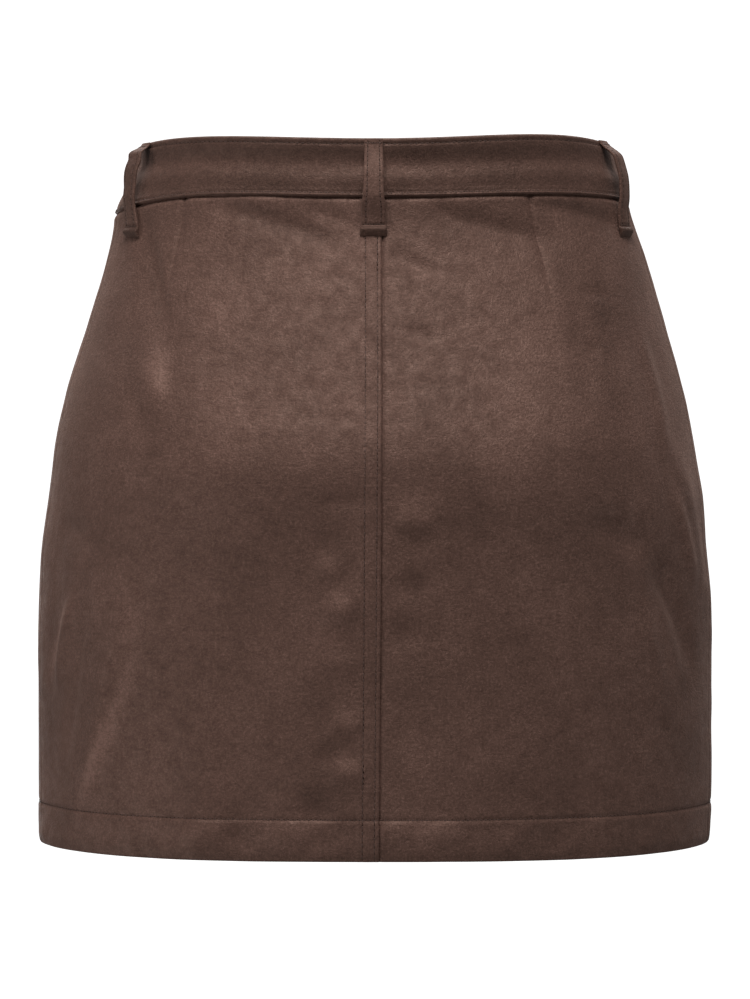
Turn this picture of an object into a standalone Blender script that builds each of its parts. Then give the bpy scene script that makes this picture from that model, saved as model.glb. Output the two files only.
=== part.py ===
"""Faux suede mini skirt, in the hollow form that it keeps when it is worn.

The ring of the waistband is centred on the origin and Z is up. The centre front faces
-Y and the centre back faces +Y, so the wearer's left is at +X. Sizes are millimetres
until the last step, which writes each mesh in metres.

A place on the cloth has a turn, in degrees round from the centre back and positive
towards the wearer's left, and a height above the origin.
"""

import math
from collections import namedtuple

import bmesh
import bpy
import numpy as np
from mathutils import Matrix, Vector

METRE = 1000.0

# Cloth
PANEL_CLOTH = 1.4
BAND_CLOTH = 2.4
HEM_DEPTH = 23.0
SEAM_GAP = 0.3
STEP_ROW = 1.0

# Heights of the waistband's edges and of the hem: at the centre back, the sides and the
# centre front, with the arch that each side's half rises in between
Edge = namedtuple("Edge", "back left right front arch_left arch_right")
BAND_TOP = Edge(15.3, 16.0, 16.5, 13.0, 2.4, 3.5)
WAIST_SEAM = Edge(-17.0, -22.0, -15.5, -20.0, 2.5, 2.5)
HEM = Edge(-380.6, -376.6, -376.8, -379.0, 0.0, 0.0)

# Turns of the seams
BACK_SEAM_TOP = -1.4
BACK_SEAM_HEM = -0.55
SIDE_SEAM_WAIST = 80.0
SIDE_SEAM_HIP = 79.0
SIDE_SEAM_SETTLES = -110.0
FRONT_SEAM = 180.0

# Belt loops: each stands clear of the band, and its end is folded under at the foot.
# The table gives the turns of each one's top and foot, how far the loop stands clear, how
# far down it does so from and to and is seated on the panel from, and one edge's roll
LOOP_WIDTH = 11.0
LOOP_CLOTH = 1.8
LOOP_SEAT = 0.5
LOOP_DROP = 54.0
LOOP_END_FOLD = 5.0
LOOP_FOLD_LAYERS = 1.7
BeltLoop = namedtuple(
    "BeltLoop", "name top_turn foot_turn clear clear_from clear_to seated_from roll"
)
BELT_LOOPS = (
    BeltLoop("belt_loop_back", 0.3, 0.3, 7.2, 22.0, 30.0, 50.0, 0.0),
    BeltLoop("belt_loop_left", 72.0, 63.7, 7.6, 8.0, 16.0, 41.0, 1.1),
    BeltLoop("belt_loop_right", -71.2, -68.3, 6.6, 12.0, 19.5, 52.0, 0.0),
    BeltLoop("belt_loop_front_left", 155.0, 157.0, 7.2, 7.5, 10.0, 44.0, 0.0),
    BeltLoop("belt_loop_front_right", -155.0, -157.0, 7.2, 7.5, 10.0, 44.0, 0.0),
)

# Waistband fastening at the centre front: how far the wearer's right end laps over, how
# far the left end goes on behind it, and the turns that its step inwards takes
LAP_PAST_FRONT = 20.0
UNDERLAP = 16.0
UNDERLAP_CLEAR_TURN = 1.2
UNDERLAP_STEP_TURN = 2.8
BUTTON_DIAMETER = 17.0
BUTTON_THICK = 3.4
BUTTON_DISH = 0.8
BUTTON_RIM = 2.6
BUTTON_ROUNDING = 0.8
BUTTON_SEAT = 0.5
BUTTON_TURN = 180.0
BUTTON_HEIGHT = -2.0

# Darts, one on each quarter
DART_LENGTH = 62.0
DART_DEPTH = 1.1
DART_HALF_WIDTH = 3.5
DART_SHARE = 0.57

# Horizontal sections of the worn skirt: half widths to the wearer's left and right,
# depths to the back and front, and how far the corners fill out
Section = namedtuple("Section", "height left right back front corner")
SECTIONS = (
    Section(22, 133.0, 131.6, 91.4, 90.6, 0.012),
    Section(11, 133.6, 135.4, 90.8, 90.2, 0.012),
    Section(4, 135.0, 138.0, 90.2, 89.8, 0.013),
    Section(-3, 138.8, 140.2, 90.6, 90.2, 0.014),
    Section(-10, 142.4, 142.2, 91.8, 91.0, 0.014),
    Section(-15, 145.2, 143.6, 92.2, 91.4, 0.015),
    Section(-20, 146.8, 144.6, 92.2, 91.6, 0.015),
    Section(-30, 147.8, 147.8, 92.9, 92.4, 0.016),
    Section(-50, 152.7, 154.7, 98.6, 95.2, 0.018),
    Section(-75, 160.5, 161.7, 108.8, 98.6, 0.020),
    Section(-100, 167.8, 168.3, 119.3, 101.6, 0.022),
    Section(-125, 175.3, 175.3, 129.6, 103.8, 0.024),
    Section(-150, 180.6, 180.3, 138.4, 105.0, 0.024),
    Section(-165, 182.5, 182.9, 140.8, 105.6, 0.024),
    Section(-180, 184.4, 185.3, 141.2, 106.0, 0.024),
    Section(-210, 188.8, 187.8, 140.0, 106.5, 0.023),
    Section(-240, 190.5, 190.2, 138.6, 107.0, 0.022),
    Section(-300, 190.2, 190.8, 136.2, 107.0, 0.021),
    Section(-385, 189.7, 189.3, 133.5, 107.0, 0.020),
)

# Largest folds: soft troughs (rise below zero) and ridges, from one place on the
# cloth to another, bowed sideways in the middle
Fold = namedtuple("Fold", "from_turn from_height to_turn to_height rise half_width bow")
FOLDS = (
    # back, the wearer's left
    Fold(61, -26, 42, -108, -1.9, 10, 4),
    Fold(50, -84, 41, -138, 1.6, 12, 0),
    Fold(34, -22, 7, -44, -1.3, 9, 0),
    Fold(46, -215, 62, -358, 2.2, 15, -5),
    Fold(66, -200, 70, -300, -1.4, 12, 3),
    Fold(30, -300, 26, -384, 1.4, 14, 0),
    Fold(21, -316, 20, -384, -1.4, 12, 0),
    Fold(10, -188, -1, -182, -0.8, 9, 0),
    Fold(10, -247, 2, -234, 1.0, 9, 0),
    # back, the wearer's right
    Fold(-12, -24, -41, -44, -1.4, 9, 0),
    Fold(-40, -23, -70, -34, -1.2, 9, 0),
    Fold(-38, -190, -66, -256, -1.7, 13, 6),
    Fold(-62, -150, -74, -236, 1.9, 12, 0),
    Fold(-3, -192, -11, -196, 0.9, 9, 0),
    Fold(-11, -310, -12, -384, 1.3, 13, 0),
    Fold(-32, -322, -31, -384, -1.4, 15, 0),
    # front, the wearer's left
    Fold(118, -24, 140, -104, -1.8, 11, -4),
    Fold(150, -26, 172, -48, -1.3, 9, 0),
    Fold(126, -206, 112, -352, 2.1, 15, 4),
    Fold(104, -170, 100, -262, -1.6, 12, 0),
    Fold(152, -296, 155, -384, 1.5, 14, 0),
    Fold(164, -318, 163, -384, -1.3, 12, 0),
    # front, the wearer's right
    Fold(-114, -22, -136, -112, -1.7, 11, 4),
    Fold(-146, -24, -170, -42, -1.2, 9, 0),
    Fold(-138, -192, -112, -262, -2.1, 13, -5),
    Fold(-112, -146, -102, -240, 1.8, 12, 0),
    Fold(-150, -306, -148, -384, 1.4, 14, 0),
    Fold(-166, -300, -168, -384, -1.3, 13, 0),
)
FOLD_REACH = 0.44
GIRTH_PER_DEGREE = 2.7

# Colours
SUEDE_BROWN = (0.086, 0.051, 0.041)
SUEDE_DARK = (0.074, 0.043, 0.034)
BUTTON_BROWN = (0.030, 0.018, 0.014)
ROUGHNESS = 0.92

# Mesh spacing and shading
PANEL_COLUMNS = 18
PANEL_ROWS = 27
WAIST_CROWDING = 1.25
BAND_COLUMN_TURN = 5.6
BAND_CLEAR_TURN = 1.2
BAND_ROWS = 4
LOOP_ROWS = 14
LOOP_COLUMNS = 2
BUTTON_STEPS = 28
DART_COLUMN_SPACE = 1.6
SLOPE_STEP = 0.5
SHARP_CLOTH = 50.0
SHARP_BUTTON = 40.0


def clear_scene():
    for obj in list(bpy.data.objects):
        bpy.data.objects.remove(obj, do_unlink=True)


def section_size(column, height):
    """Smooth curve through one column of the section table, read at the heights."""
    rows = sorted(SECTIONS)
    knots = np.array([row.height for row in rows], float)
    sizes = np.array([getattr(row, column) for row in rows], float)
    slopes = np.gradient(sizes, knots)
    low = np.clip(np.searchsorted(knots, height) - 1, 0, len(knots) - 2)
    span = knots[low + 1] - knots[low]
    t = np.clip((height - knots[low]) / span, 0.0, 1.0)
    from_low = (1 + 2 * t) * (1 - t) ** 2 * sizes[low] + t * (1 - t) ** 2 * span * slopes[low]
    from_high = t * t * (3 - 2 * t) * sizes[low + 1] - t * t * (1 - t) * span * slopes[low + 1]
    return from_low + from_high


def edge_height(edge, turn):
    """Height of an edge of the garment, between its values at back, sides and front."""
    angle = np.radians(turn)
    on_left = np.sin(angle) >= 0
    side = np.where(on_left, edge.left, edge.right)
    end = np.where(np.cos(angle) >= 0, edge.back, edge.front)
    arch = np.where(on_left, edge.arch_left, edge.arch_right)
    share = np.sin(angle) ** 4
    return side * share + end * (1 - share) + arch * np.sin(2 * angle) ** 2


def turn_between(turn, start):
    return (turn - start + 180.0) % 360.0 - 180.0


def fold_rise(turn, height):
    """How far the folds move the cloth outwards."""
    total = np.zeros(np.shape(turn))
    for fold in FOLDS:
        run = turn_between(fold.to_turn, fold.from_turn) * GIRTH_PER_DEGREE
        drop = fold.to_height - fold.from_height
        length = math.hypot(run, drop)
        across = turn_between(turn, fold.from_turn) * GIRTH_PER_DEGREE
        down = height - fold.from_height
        along = (across * run + down * drop) / length**2
        aside = (across * drop - down * run) / length
        aside = aside - fold.bow * np.clip(1 - (2 * along - 1) ** 2, 0, 1)
        ends = np.exp(-(((along - 0.5) / FOLD_REACH) ** 4))
        total += fold.rise * ends * np.exp(-((aside / fold.half_width) ** 2))
    return total


def section_point(turn, height):
    """Place on the smooth form, before folds."""
    angle = np.radians(turn)
    side = np.where(
        np.sin(angle) >= 0, section_size("left", height), section_size("right", height)
    )
    depth = np.where(
        np.cos(angle) >= 0, section_size("back", height), section_size("front", height)
    )
    corner = section_size("corner", height)
    x = side * (np.sin(angle) + corner * np.sin(3 * angle)) / (1 - corner)
    y = depth * (np.cos(angle) - corner * np.cos(3 * angle)) / (1 - corner)
    return np.stack([x, y, height + 0.0 * x], axis=-1)


def outward(place, turn, height):
    """Unit normals of the surface that place() describes."""
    round_way = place(turn + SLOPE_STEP, height) - place(turn - SLOPE_STEP, height)
    up_way = place(turn, height + SLOPE_STEP) - place(turn, height - SLOPE_STEP)
    normal = np.cross(up_way, round_way)
    return normal / np.linalg.norm(normal, axis=-1, keepdims=True)


def cloth_point(turn, height):
    """Place on the outer face of the cloth, with its folds."""
    rise = fold_rise(turn, height)[..., None]
    return section_point(turn, height) + rise * outward(section_point, turn, height)


def turn_length(turn, height):
    """Millimetres of cloth in one degree of turn."""
    before = section_point(np.array(turn - 0.5), np.array(height))
    after = section_point(np.array(turn + 0.5), np.array(height))
    return float(np.linalg.norm(after - before))


def principled(name, colour):
    material = bpy.data.materials.new(name)
    material.use_nodes = True
    shader = material.node_tree.nodes["Principled BSDF"]
    shader.inputs["Base Color"].default_value = (*colour, 1.0)
    shader.inputs["Roughness"].default_value = ROUGHNESS
    shader.inputs["Metallic"].default_value = 0.0
    material.diffuse_color = (*colour, 1.0)
    return material


def add_object(name, colour, mesh, sharp_angle):
    mesh.shade_smooth()
    mesh.set_sharp_from_angle(angle=math.radians(sharp_angle))
    mesh.materials.append(principled(name, colour))
    obj = bpy.data.objects.new(name, mesh)
    bpy.context.scene.collection.objects.link(obj)
    return obj


def cloth_wall(name, colour, turn, height, lift, thickness):
    """A closed wall of cloth from a grid of places, in rows that run round the skirt.

    lift is how far the wall's outer face stands out from the cloth's own place, and
    thickness is the wall's, inwards from there.
    """
    turn, height, lift, thickness = np.broadcast_arrays(turn, height, lift, thickness)
    place = cloth_point(turn, height)
    normal = outward(cloth_point, turn, height)
    outer = place + lift[..., None] * normal
    inner = outer - thickness[..., None] * normal
    rows, columns = turn.shape

    wall = bmesh.new()
    outside = [wall.verts.new(Vector(point) / METRE) for point in outer.reshape(-1, 3)]
    inside = [wall.verts.new(Vector(point) / METRE) for point in inner.reshape(-1, 3)]
    for row in range(rows - 1):
        for column in range(columns - 1):
            first = row * columns + column
            ring = (first, first + 1, first + columns + 1, first + columns)
            wall.faces.new([outside[index] for index in ring])
            wall.faces.new([inside[index] for index in ring])
    last = rows * columns - 1
    rim = [*range(columns - 1), *range(columns - 1, last, columns)]
    rim += [last - index for index in rim]
    for start, end in zip(rim, rim[1:] + rim[:1]):
        wall.faces.new((outside[start], inside[start], inside[end], outside[end]))
    bmesh.ops.recalc_face_normals(wall, faces=wall.faces[:])
    mesh = bpy.data.meshes.new(name)
    wall.to_mesh(mesh)
    wall.free()
    return add_object(name, colour, mesh, SHARP_CLOTH)


def side_seam(height):
    """Turn of the side seam: it swings back from the waist to the hip."""
    share = np.clip(height / SIDE_SEAM_SETTLES, 0.0, 1.0)
    share = share * share * (3 - 2 * share)
    return SIDE_SEAM_WAIST + (SIDE_SEAM_HIP - SIDE_SEAM_WAIST) * share


def back_seam(height):
    share = np.clip(height / HEM.back, 0.0, 1.0)
    return BACK_SEAM_TOP + (BACK_SEAM_HEM - BACK_SEAM_TOP) * share


def gap_turn(height):
    """Half of the seam gap as a turn, wide enough where the cloth bends most."""
    nearest = np.minimum(section_size("back", height), section_size("front", height))
    return np.degrees(0.5 * SEAM_GAP / nearest)


def panel_columns():
    """Shares of a panel's width: even, with a tight group on the dart."""
    even = np.linspace(0.0, 1.0, PANEL_COLUMNS + 1)
    clear = np.abs(even - DART_SHARE) > 0.6 / PANEL_COLUMNS
    beside = DART_COLUMN_SPACE * DART_HALF_WIDTH / QUARTER_GIRTH
    dart = [DART_SHARE - beside, DART_SHARE, DART_SHARE + beside]
    return np.sort(np.concatenate([even[clear], dart]))


def dart_rise(share, drop):
    """The dart's dent, deepest at the waist seam and gone at its point."""
    fade = np.clip(1.0 - drop / DART_LENGTH, 0.0, 1.0)
    aside = (share - DART_SHARE) * QUARTER_GIRTH / DART_HALF_WIDTH
    return -DART_DEPTH * np.sqrt(fade) * np.exp(-(aside**2))


def panel(name, colour, first_edge, last_edge):
    """One quarter of the skirt, between two seams that run from waist to hem."""
    share = panel_columns()[None, :]
    even = np.linspace(0.0, 1.0, PANEL_ROWS + 1) ** WAIST_CROWDING
    length = WAIST_SEAM.back - HEM.back
    fold_line = 1.0 - HEM_DEPTH / length
    step = STEP_ROW / length
    even = even[np.abs(even - fold_line) > 0.5 / PANEL_ROWS]
    down = np.sort(np.concatenate([even, [fold_line - step, fold_line + step]]))[:, None]

    def turn_at(height):
        first = first_edge(height) + gap_turn(height)
        last = last_edge(height) - gap_turn(height)
        return first + (last - first) * share

    turn = turn_at(WAIST_SEAM.back - down * length)
    top = edge_height(WAIST_SEAM, turn) - 0.5 * SEAM_GAP
    height = top + (edge_height(HEM, turn) - top) * down
    dent = dart_rise(share, top - height)
    layers = np.where(down > fold_line, 2.0, 1.0)
    return cloth_wall(name, colour, turn, height, dent, PANEL_CLOTH * layers)


def band(name, colour, first_turn, last_turn, lift_at=None, bends=()):
    """A stretch of the waistband between two turns, with extra columns at its bends."""
    count = round(abs(last_turn - first_turn) / BAND_COLUMN_TURN)
    even = np.linspace(first_turn, last_turn, count + 1)
    clear = [turn for turn in even if all(abs(turn - bend) > BAND_CLEAR_TURN for bend in bends)]
    turn = np.array(sorted([*clear, *bends]))[None, :]
    down = np.linspace(0.0, 1.0, BAND_ROWS + 1)[:, None]
    bottom = edge_height(WAIST_SEAM, turn) + 0.5 * SEAM_GAP
    height = edge_height(BAND_TOP, turn) + (bottom - edge_height(BAND_TOP, turn)) * down
    lift = 0.0 * turn if lift_at is None else lift_at(turn)
    return cloth_wall(name, colour, turn + 0.0 * down, height, lift, BAND_CLOTH)


def ease(value, start, end):
    """0 before start, 1 after end, smooth between."""
    share = np.clip((value - start) / (end - start), 0.0, 1.0)
    return share * share * (3 - 2 * share)


def underlap_lift(turn):
    """The wearer's left end steps in behind the right end."""
    return -(BAND_CLOTH + SEAM_GAP) * ease(turn, *UNDERLAP_STEP)


def belt_loop(loop, colour):
    """A strap sewn down at the band's top edge and below the waist seam."""
    top = float(edge_height(BAND_TOP, loop.top_turn))
    fold_top = LOOP_DROP - LOOP_END_FOLD
    even = np.linspace(0.0, LOOP_DROP, LOOP_ROWS + 1)
    drop = np.sort([*even, fold_top - 0.5 * STEP_ROW, fold_top + 0.5 * STEP_ROW])[:, None]
    leaves = ease(drop, 0.0, loop.clear_from)
    returns = 1.0 - ease(drop, loop.clear_to, loop.seated_from)
    share = np.linspace(-1.0, 1.0, LOOP_COLUMNS + 1)[None, :]
    standoff = LOOP_SEAT + (loop.clear - LOOP_SEAT + loop.roll * share) * leaves * returns
    lean = loop.top_turn + (loop.foot_turn - loop.top_turn) * drop / LOOP_DROP
    per_turn = 1.0 / turn_length(loop.foot_turn, top - 0.5 * LOOP_DROP)
    across = 0.5 * LOOP_WIDTH * share * per_turn
    cloth = LOOP_CLOTH * np.where(drop > fold_top, LOOP_FOLD_LAYERS, 1.0)
    height = top - drop + 0.0 * across
    return cloth_wall(loop.name, colour, lean + across, height, standoff + cloth, cloth)


def waist_button(name, colour, turn, height):
    """A dished disc with a rounded rim, turned about its own axis."""
    radius = BUTTON_DIAMETER / 2
    rim = radius - BUTTON_RIM
    profile = (
        (0.0, 0.0),
        (radius - BUTTON_ROUNDING, 0.0),
        (radius, BUTTON_ROUNDING),
        (radius, BUTTON_THICK - BUTTON_ROUNDING),
        (radius - BUTTON_ROUNDING, BUTTON_THICK),
        (rim, BUTTON_THICK),
        (rim - BUTTON_DISH, BUTTON_THICK - BUTTON_DISH),
        (0.0, BUTTON_THICK - BUTTON_DISH),
    )
    turned = bmesh.new()
    points = [turned.verts.new((x / METRE, 0.0, z / METRE)) for x, z in profile]
    for start, end in zip(points, points[1:]):
        turned.edges.new((start, end))
    bmesh.ops.spin(
        turned,
        geom=turned.verts[:] + turned.edges[:],
        cent=(0, 0, 0),
        axis=(0, 0, 1),
        angle=math.tau,
        steps=BUTTON_STEPS,
        use_merge=True,
    )
    bmesh.ops.remove_doubles(turned, verts=turned.verts[:], dist=1e-6)
    bmesh.ops.recalc_face_normals(turned, faces=turned.faces[:])
    mesh = bpy.data.meshes.new(name)
    turned.to_mesh(mesh)
    turned.free()
    obj = add_object(name, colour, mesh, SHARP_BUTTON)

    place = np.array(turn), np.array(height)
    normal = Vector(outward(cloth_point, *place))
    seat = Vector(cloth_point(*place)) + normal * BUTTON_SEAT
    facing = normal.to_track_quat("Z", "Y").to_matrix().to_4x4()
    obj.matrix_world = Matrix.Translation(seat / METRE) @ facing
    return obj


# Worked out from the sizes above
QUARTER_GIRTH = 90.0 * GIRTH_PER_DEGREE
LAP_TURN = LAP_PAST_FRONT / turn_length(FRONT_SEAM, 0.0)
UNDERLAP_TURN = UNDERLAP / turn_length(FRONT_SEAM, 0.0)
UNDERLAP_STEP = (
    FRONT_SEAM - LAP_TURN - UNDERLAP_CLEAR_TURN - UNDERLAP_STEP_TURN,
    FRONT_SEAM - LAP_TURN - UNDERLAP_CLEAR_TURN,
)
BAND_GAP_TURN = float(gap_turn(np.array(0.0)))


def main():
    clear_scene()
    panel("back_left", SUEDE_BROWN, back_seam, side_seam)
    panel("back_right", SUEDE_BROWN, lambda height: -side_seam(height), back_seam)
    panel("front_left", SUEDE_BROWN, side_seam, lambda height: FRONT_SEAM + 0.0 * height)
    panel(
        "front_right",
        SUEDE_BROWN,
        lambda height: -FRONT_SEAM + 0.0 * height,
        lambda height: -side_seam(height),
    )

    side = float(side_seam(np.array(0.0)))
    band("waistband_back", SUEDE_DARK, -side + BAND_GAP_TURN, side - BAND_GAP_TURN)
    band(
        "waistband_front_left",
        SUEDE_DARK,
        side + BAND_GAP_TURN,
        FRONT_SEAM + UNDERLAP_TURN,
        underlap_lift,
        UNDERLAP_STEP,
    )
    band("waistband_front_right", SUEDE_DARK, -FRONT_SEAM - LAP_TURN, -side - BAND_GAP_TURN)
    for loop in BELT_LOOPS:
        belt_loop(loop, SUEDE_BROWN)
    waist_button("waist_button", BUTTON_BROWN, BUTTON_TURN, BUTTON_HEIGHT)


main()
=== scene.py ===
"""Faux suede mini skirt, dressed: its cloth, folds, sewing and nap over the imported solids.

The ring of the waistband is centred on the origin and Z is up. The centre front faces
-Y and the centre back faces +Y, so the wearer's left is at +X. Sizes are millimetres
until a mesh is written, in metres.

A place on the cloth has a turn, in degrees round from the centre back and positive
towards the wearer's left, and a height above the origin.
"""

import math
from collections import namedtuple

import bmesh
import bpy
import numpy as np
from mathutils import Matrix, Vector


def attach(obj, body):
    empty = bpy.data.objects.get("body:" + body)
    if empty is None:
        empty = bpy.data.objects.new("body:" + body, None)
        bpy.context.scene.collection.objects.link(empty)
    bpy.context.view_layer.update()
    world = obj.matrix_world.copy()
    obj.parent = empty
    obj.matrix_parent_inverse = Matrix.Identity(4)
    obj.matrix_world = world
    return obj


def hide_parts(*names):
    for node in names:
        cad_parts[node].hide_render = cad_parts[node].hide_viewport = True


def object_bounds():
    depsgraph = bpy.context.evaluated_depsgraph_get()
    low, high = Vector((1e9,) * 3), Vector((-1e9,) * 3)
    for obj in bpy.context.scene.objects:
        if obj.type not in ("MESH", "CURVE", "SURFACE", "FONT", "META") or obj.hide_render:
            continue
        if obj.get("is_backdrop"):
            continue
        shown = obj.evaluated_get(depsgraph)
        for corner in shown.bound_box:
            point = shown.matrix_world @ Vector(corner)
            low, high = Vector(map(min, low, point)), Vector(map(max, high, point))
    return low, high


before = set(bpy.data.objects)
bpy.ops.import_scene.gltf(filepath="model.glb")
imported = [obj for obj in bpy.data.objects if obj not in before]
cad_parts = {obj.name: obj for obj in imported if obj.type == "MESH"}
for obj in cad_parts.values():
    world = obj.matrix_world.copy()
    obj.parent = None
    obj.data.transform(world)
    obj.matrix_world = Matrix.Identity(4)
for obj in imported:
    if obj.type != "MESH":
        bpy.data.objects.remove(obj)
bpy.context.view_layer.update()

METRE = 1000.0

# Cloth
PANEL_CLOTH = 1.2
HEM_CLOTH = 2.5
BAND_CLOTH = 2.4
HEM_DEPTH = 23.0
HEM_ROUND = 1.25
BAND_ROUND = 1.2

# Heights of the waistband's edges and of the hem: at the centre back, the sides and the
# centre front, with the arch that each side's half rises in between
Edge = namedtuple("Edge", "back left right front arch_left arch_right")
BAND_TOP = Edge(15.3, 16.0, 16.5, 13.0, 2.4, 3.5)
WAIST_SEAM = Edge(-17.0, -22.0, -15.5, -20.0, 2.5, 2.5)
HEM = Edge(-380.6, -376.6, -376.8, -379.0, 0.0, 0.0)

# Turns of the seams
BACK_SEAM_TOP = -1.4
BACK_SEAM_HEM = -0.55
SIDE_SEAM_WAIST = 80.0
SIDE_SEAM_HIP = 79.0
SIDE_SEAM_SETTLES = -110.0
FRONT_SEAM = 180.0

# Belt loops
LOOP_WIDTH = 11.0
LOOP_CLOTH = 1.7
LOOP_SEAT = 0.5
LOOP_DROP = 54.0
LOOP_END_FOLD = 5.0
# A loop's turns at its top and foot, its room for a belt, where down it that room opens
# and closes, its twist, its extra width low down and in its foot, and its tone
BeltLoop = namedtuple(
    "BeltLoop",
    "name top_turn foot_turn clear clear_from clear_to seated_from roll spread flare tone",
    defaults=(0.0, 0.04, 0.04, -0.10),
)
BELT_LOOPS = (
    BeltLoop("belt_loop_back", 0.3, 0.3, 7.2, 22.0, 30.0, 50.0, 0.0, 0.17, 0.10, 0.02),
    BeltLoop("belt_loop_left", 72.0, 63.7, 7.6, 8.0, 16.0, 41.0, 1.1),
    BeltLoop("belt_loop_right", -71.2, -68.3, 6.6, 12.0, 19.5, 52.0),
    BeltLoop("belt_loop_front_left", 155.0, 157.0, 7.2, 7.5, 10.0, 44.0),
    BeltLoop("belt_loop_front_right", -155.0, -157.0, 7.2, 7.5, 10.0, 44.0),
)

# Waistband fastening
LAP_PAST_FRONT = 20.0
UNDERLAP = 16.0
UNDERLAP_CLEAR_TURN = 1.2
UNDERLAP_STEP_TURN = 2.8
UNDERLAP_GAP = 0.3
BUTTON_DIAMETER = 17.0
BUTTON_THICK = 3.4
BUTTON_TURN = 180.0
BUTTON_HEIGHT = -2.0
BUTTON_SEAT = 0.5

# Darts
DART_LENGTH = 62.0
DART_DEPTH = 1.1
DART_HALF_WIDTH = 3.5
DART_SHARE = 0.57

# Horizontal sections of the worn skirt
Section = namedtuple("Section", "height left right back front corner")
SECTIONS = [Section(*row) for row in (
    (22, 133, 131.6, 91.4, 90.6, 0.012),
    (11, 133.6, 135.4, 90.8, 90.2, 0.012),
    (4, 135, 138, 90.2, 89.8, 0.013),
    (-3, 138.8, 140.2, 90.6, 90.2, 0.014),
    (-10, 142.4, 142.2, 91.8, 91, 0.014),
    (-15, 145.2, 143.6, 92.2, 91.4, 0.015),
    (-20, 146.8, 144.6, 92.2, 91.6, 0.015),
    (-30, 147.8, 147.8, 92.9, 92.4, 0.016),
    (-50, 152.7, 154.7, 98.6, 95.2, 0.018),
    (-75, 160.5, 161.7, 108.8, 98.6, 0.020),
    (-100, 167.8, 168.3, 119.3, 101.6, 0.022),
    (-125, 175.3, 175.3, 129.6, 103.8, 0.024),
    (-150, 180.6, 180.3, 138.4, 105, 0.024),
    (-165, 182.5, 182.9, 140.8, 105.6, 0.024),
    (-180, 184.4, 185.3, 141.2, 106, 0.024),
    (-210, 188.8, 187.8, 140, 106.5, 0.023),
    (-240, 190.5, 190.2, 138.6, 107, 0.022),
    (-300, 190.2, 190.8, 136.2, 107, 0.021),
    (-385, 189.7, 189.3, 133.5, 107, 0.020),
)]

# Folds that the solids have too, each from one end to the other
Fold = namedtuple(
    "Fold", "from_turn from_height to_turn to_height rise half_width bow", defaults=[0]
)
FOLDS = [Fold(*row) for row in (
    # back, the wearer's left
    (61, -26, 42, -108, -1.9, 10, 4),
    (50, -84, 41, -138, 1.6, 12),
    (34, -22, 7, -44, -1.3, 9),
    (46, -215, 62, -358, 2.2, 15, -5),
    (66, -200, 70, -300, -1.4, 12, 3),
    (30, -300, 26, -384, 1.4, 14),
    (21, -316, 20, -384, -1.4, 12),
    (10, -188, -1, -182, -0.8, 9),
    (10, -247, 2, -234, 1.0, 9),
    # back, the wearer's right
    (-12, -24, -41, -44, -1.4, 9),
    (-40, -23, -70, -34, -1.2, 9),
    (-38, -190, -66, -256, -1.7, 13, 6),
    (-62, -150, -74, -236, 1.9, 12),
    (-3, -192, -11, -196, 0.9, 9),
    (-11, -310, -12, -384, 1.3, 13),
    (-32, -322, -31, -384, -1.4, 15),
    # front, the wearer's left
    (118, -24, 140, -104, -1.8, 11, -4),
    (150, -26, 172, -48, -1.3, 9),
    (126, -206, 112, -352, 2.1, 15, 4),
    (104, -170, 100, -262, -1.6, 12),
    (152, -296, 155, -384, 1.5, 14),
    (164, -318, 163, -384, -1.3, 12),
    # front, the wearer's right
    (-114, -22, -136, -112, -1.7, 11, 4),
    (-146, -24, -170, -42, -1.2, 9),
    (-138, -192, -112, -262, -2.1, 13, -5),
    (-112, -146, -102, -240, 1.8, 12),
    (-150, -306, -148, -384, 1.4, 14),
    (-166, -300, -168, -384, -1.3, 13),
)]

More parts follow.
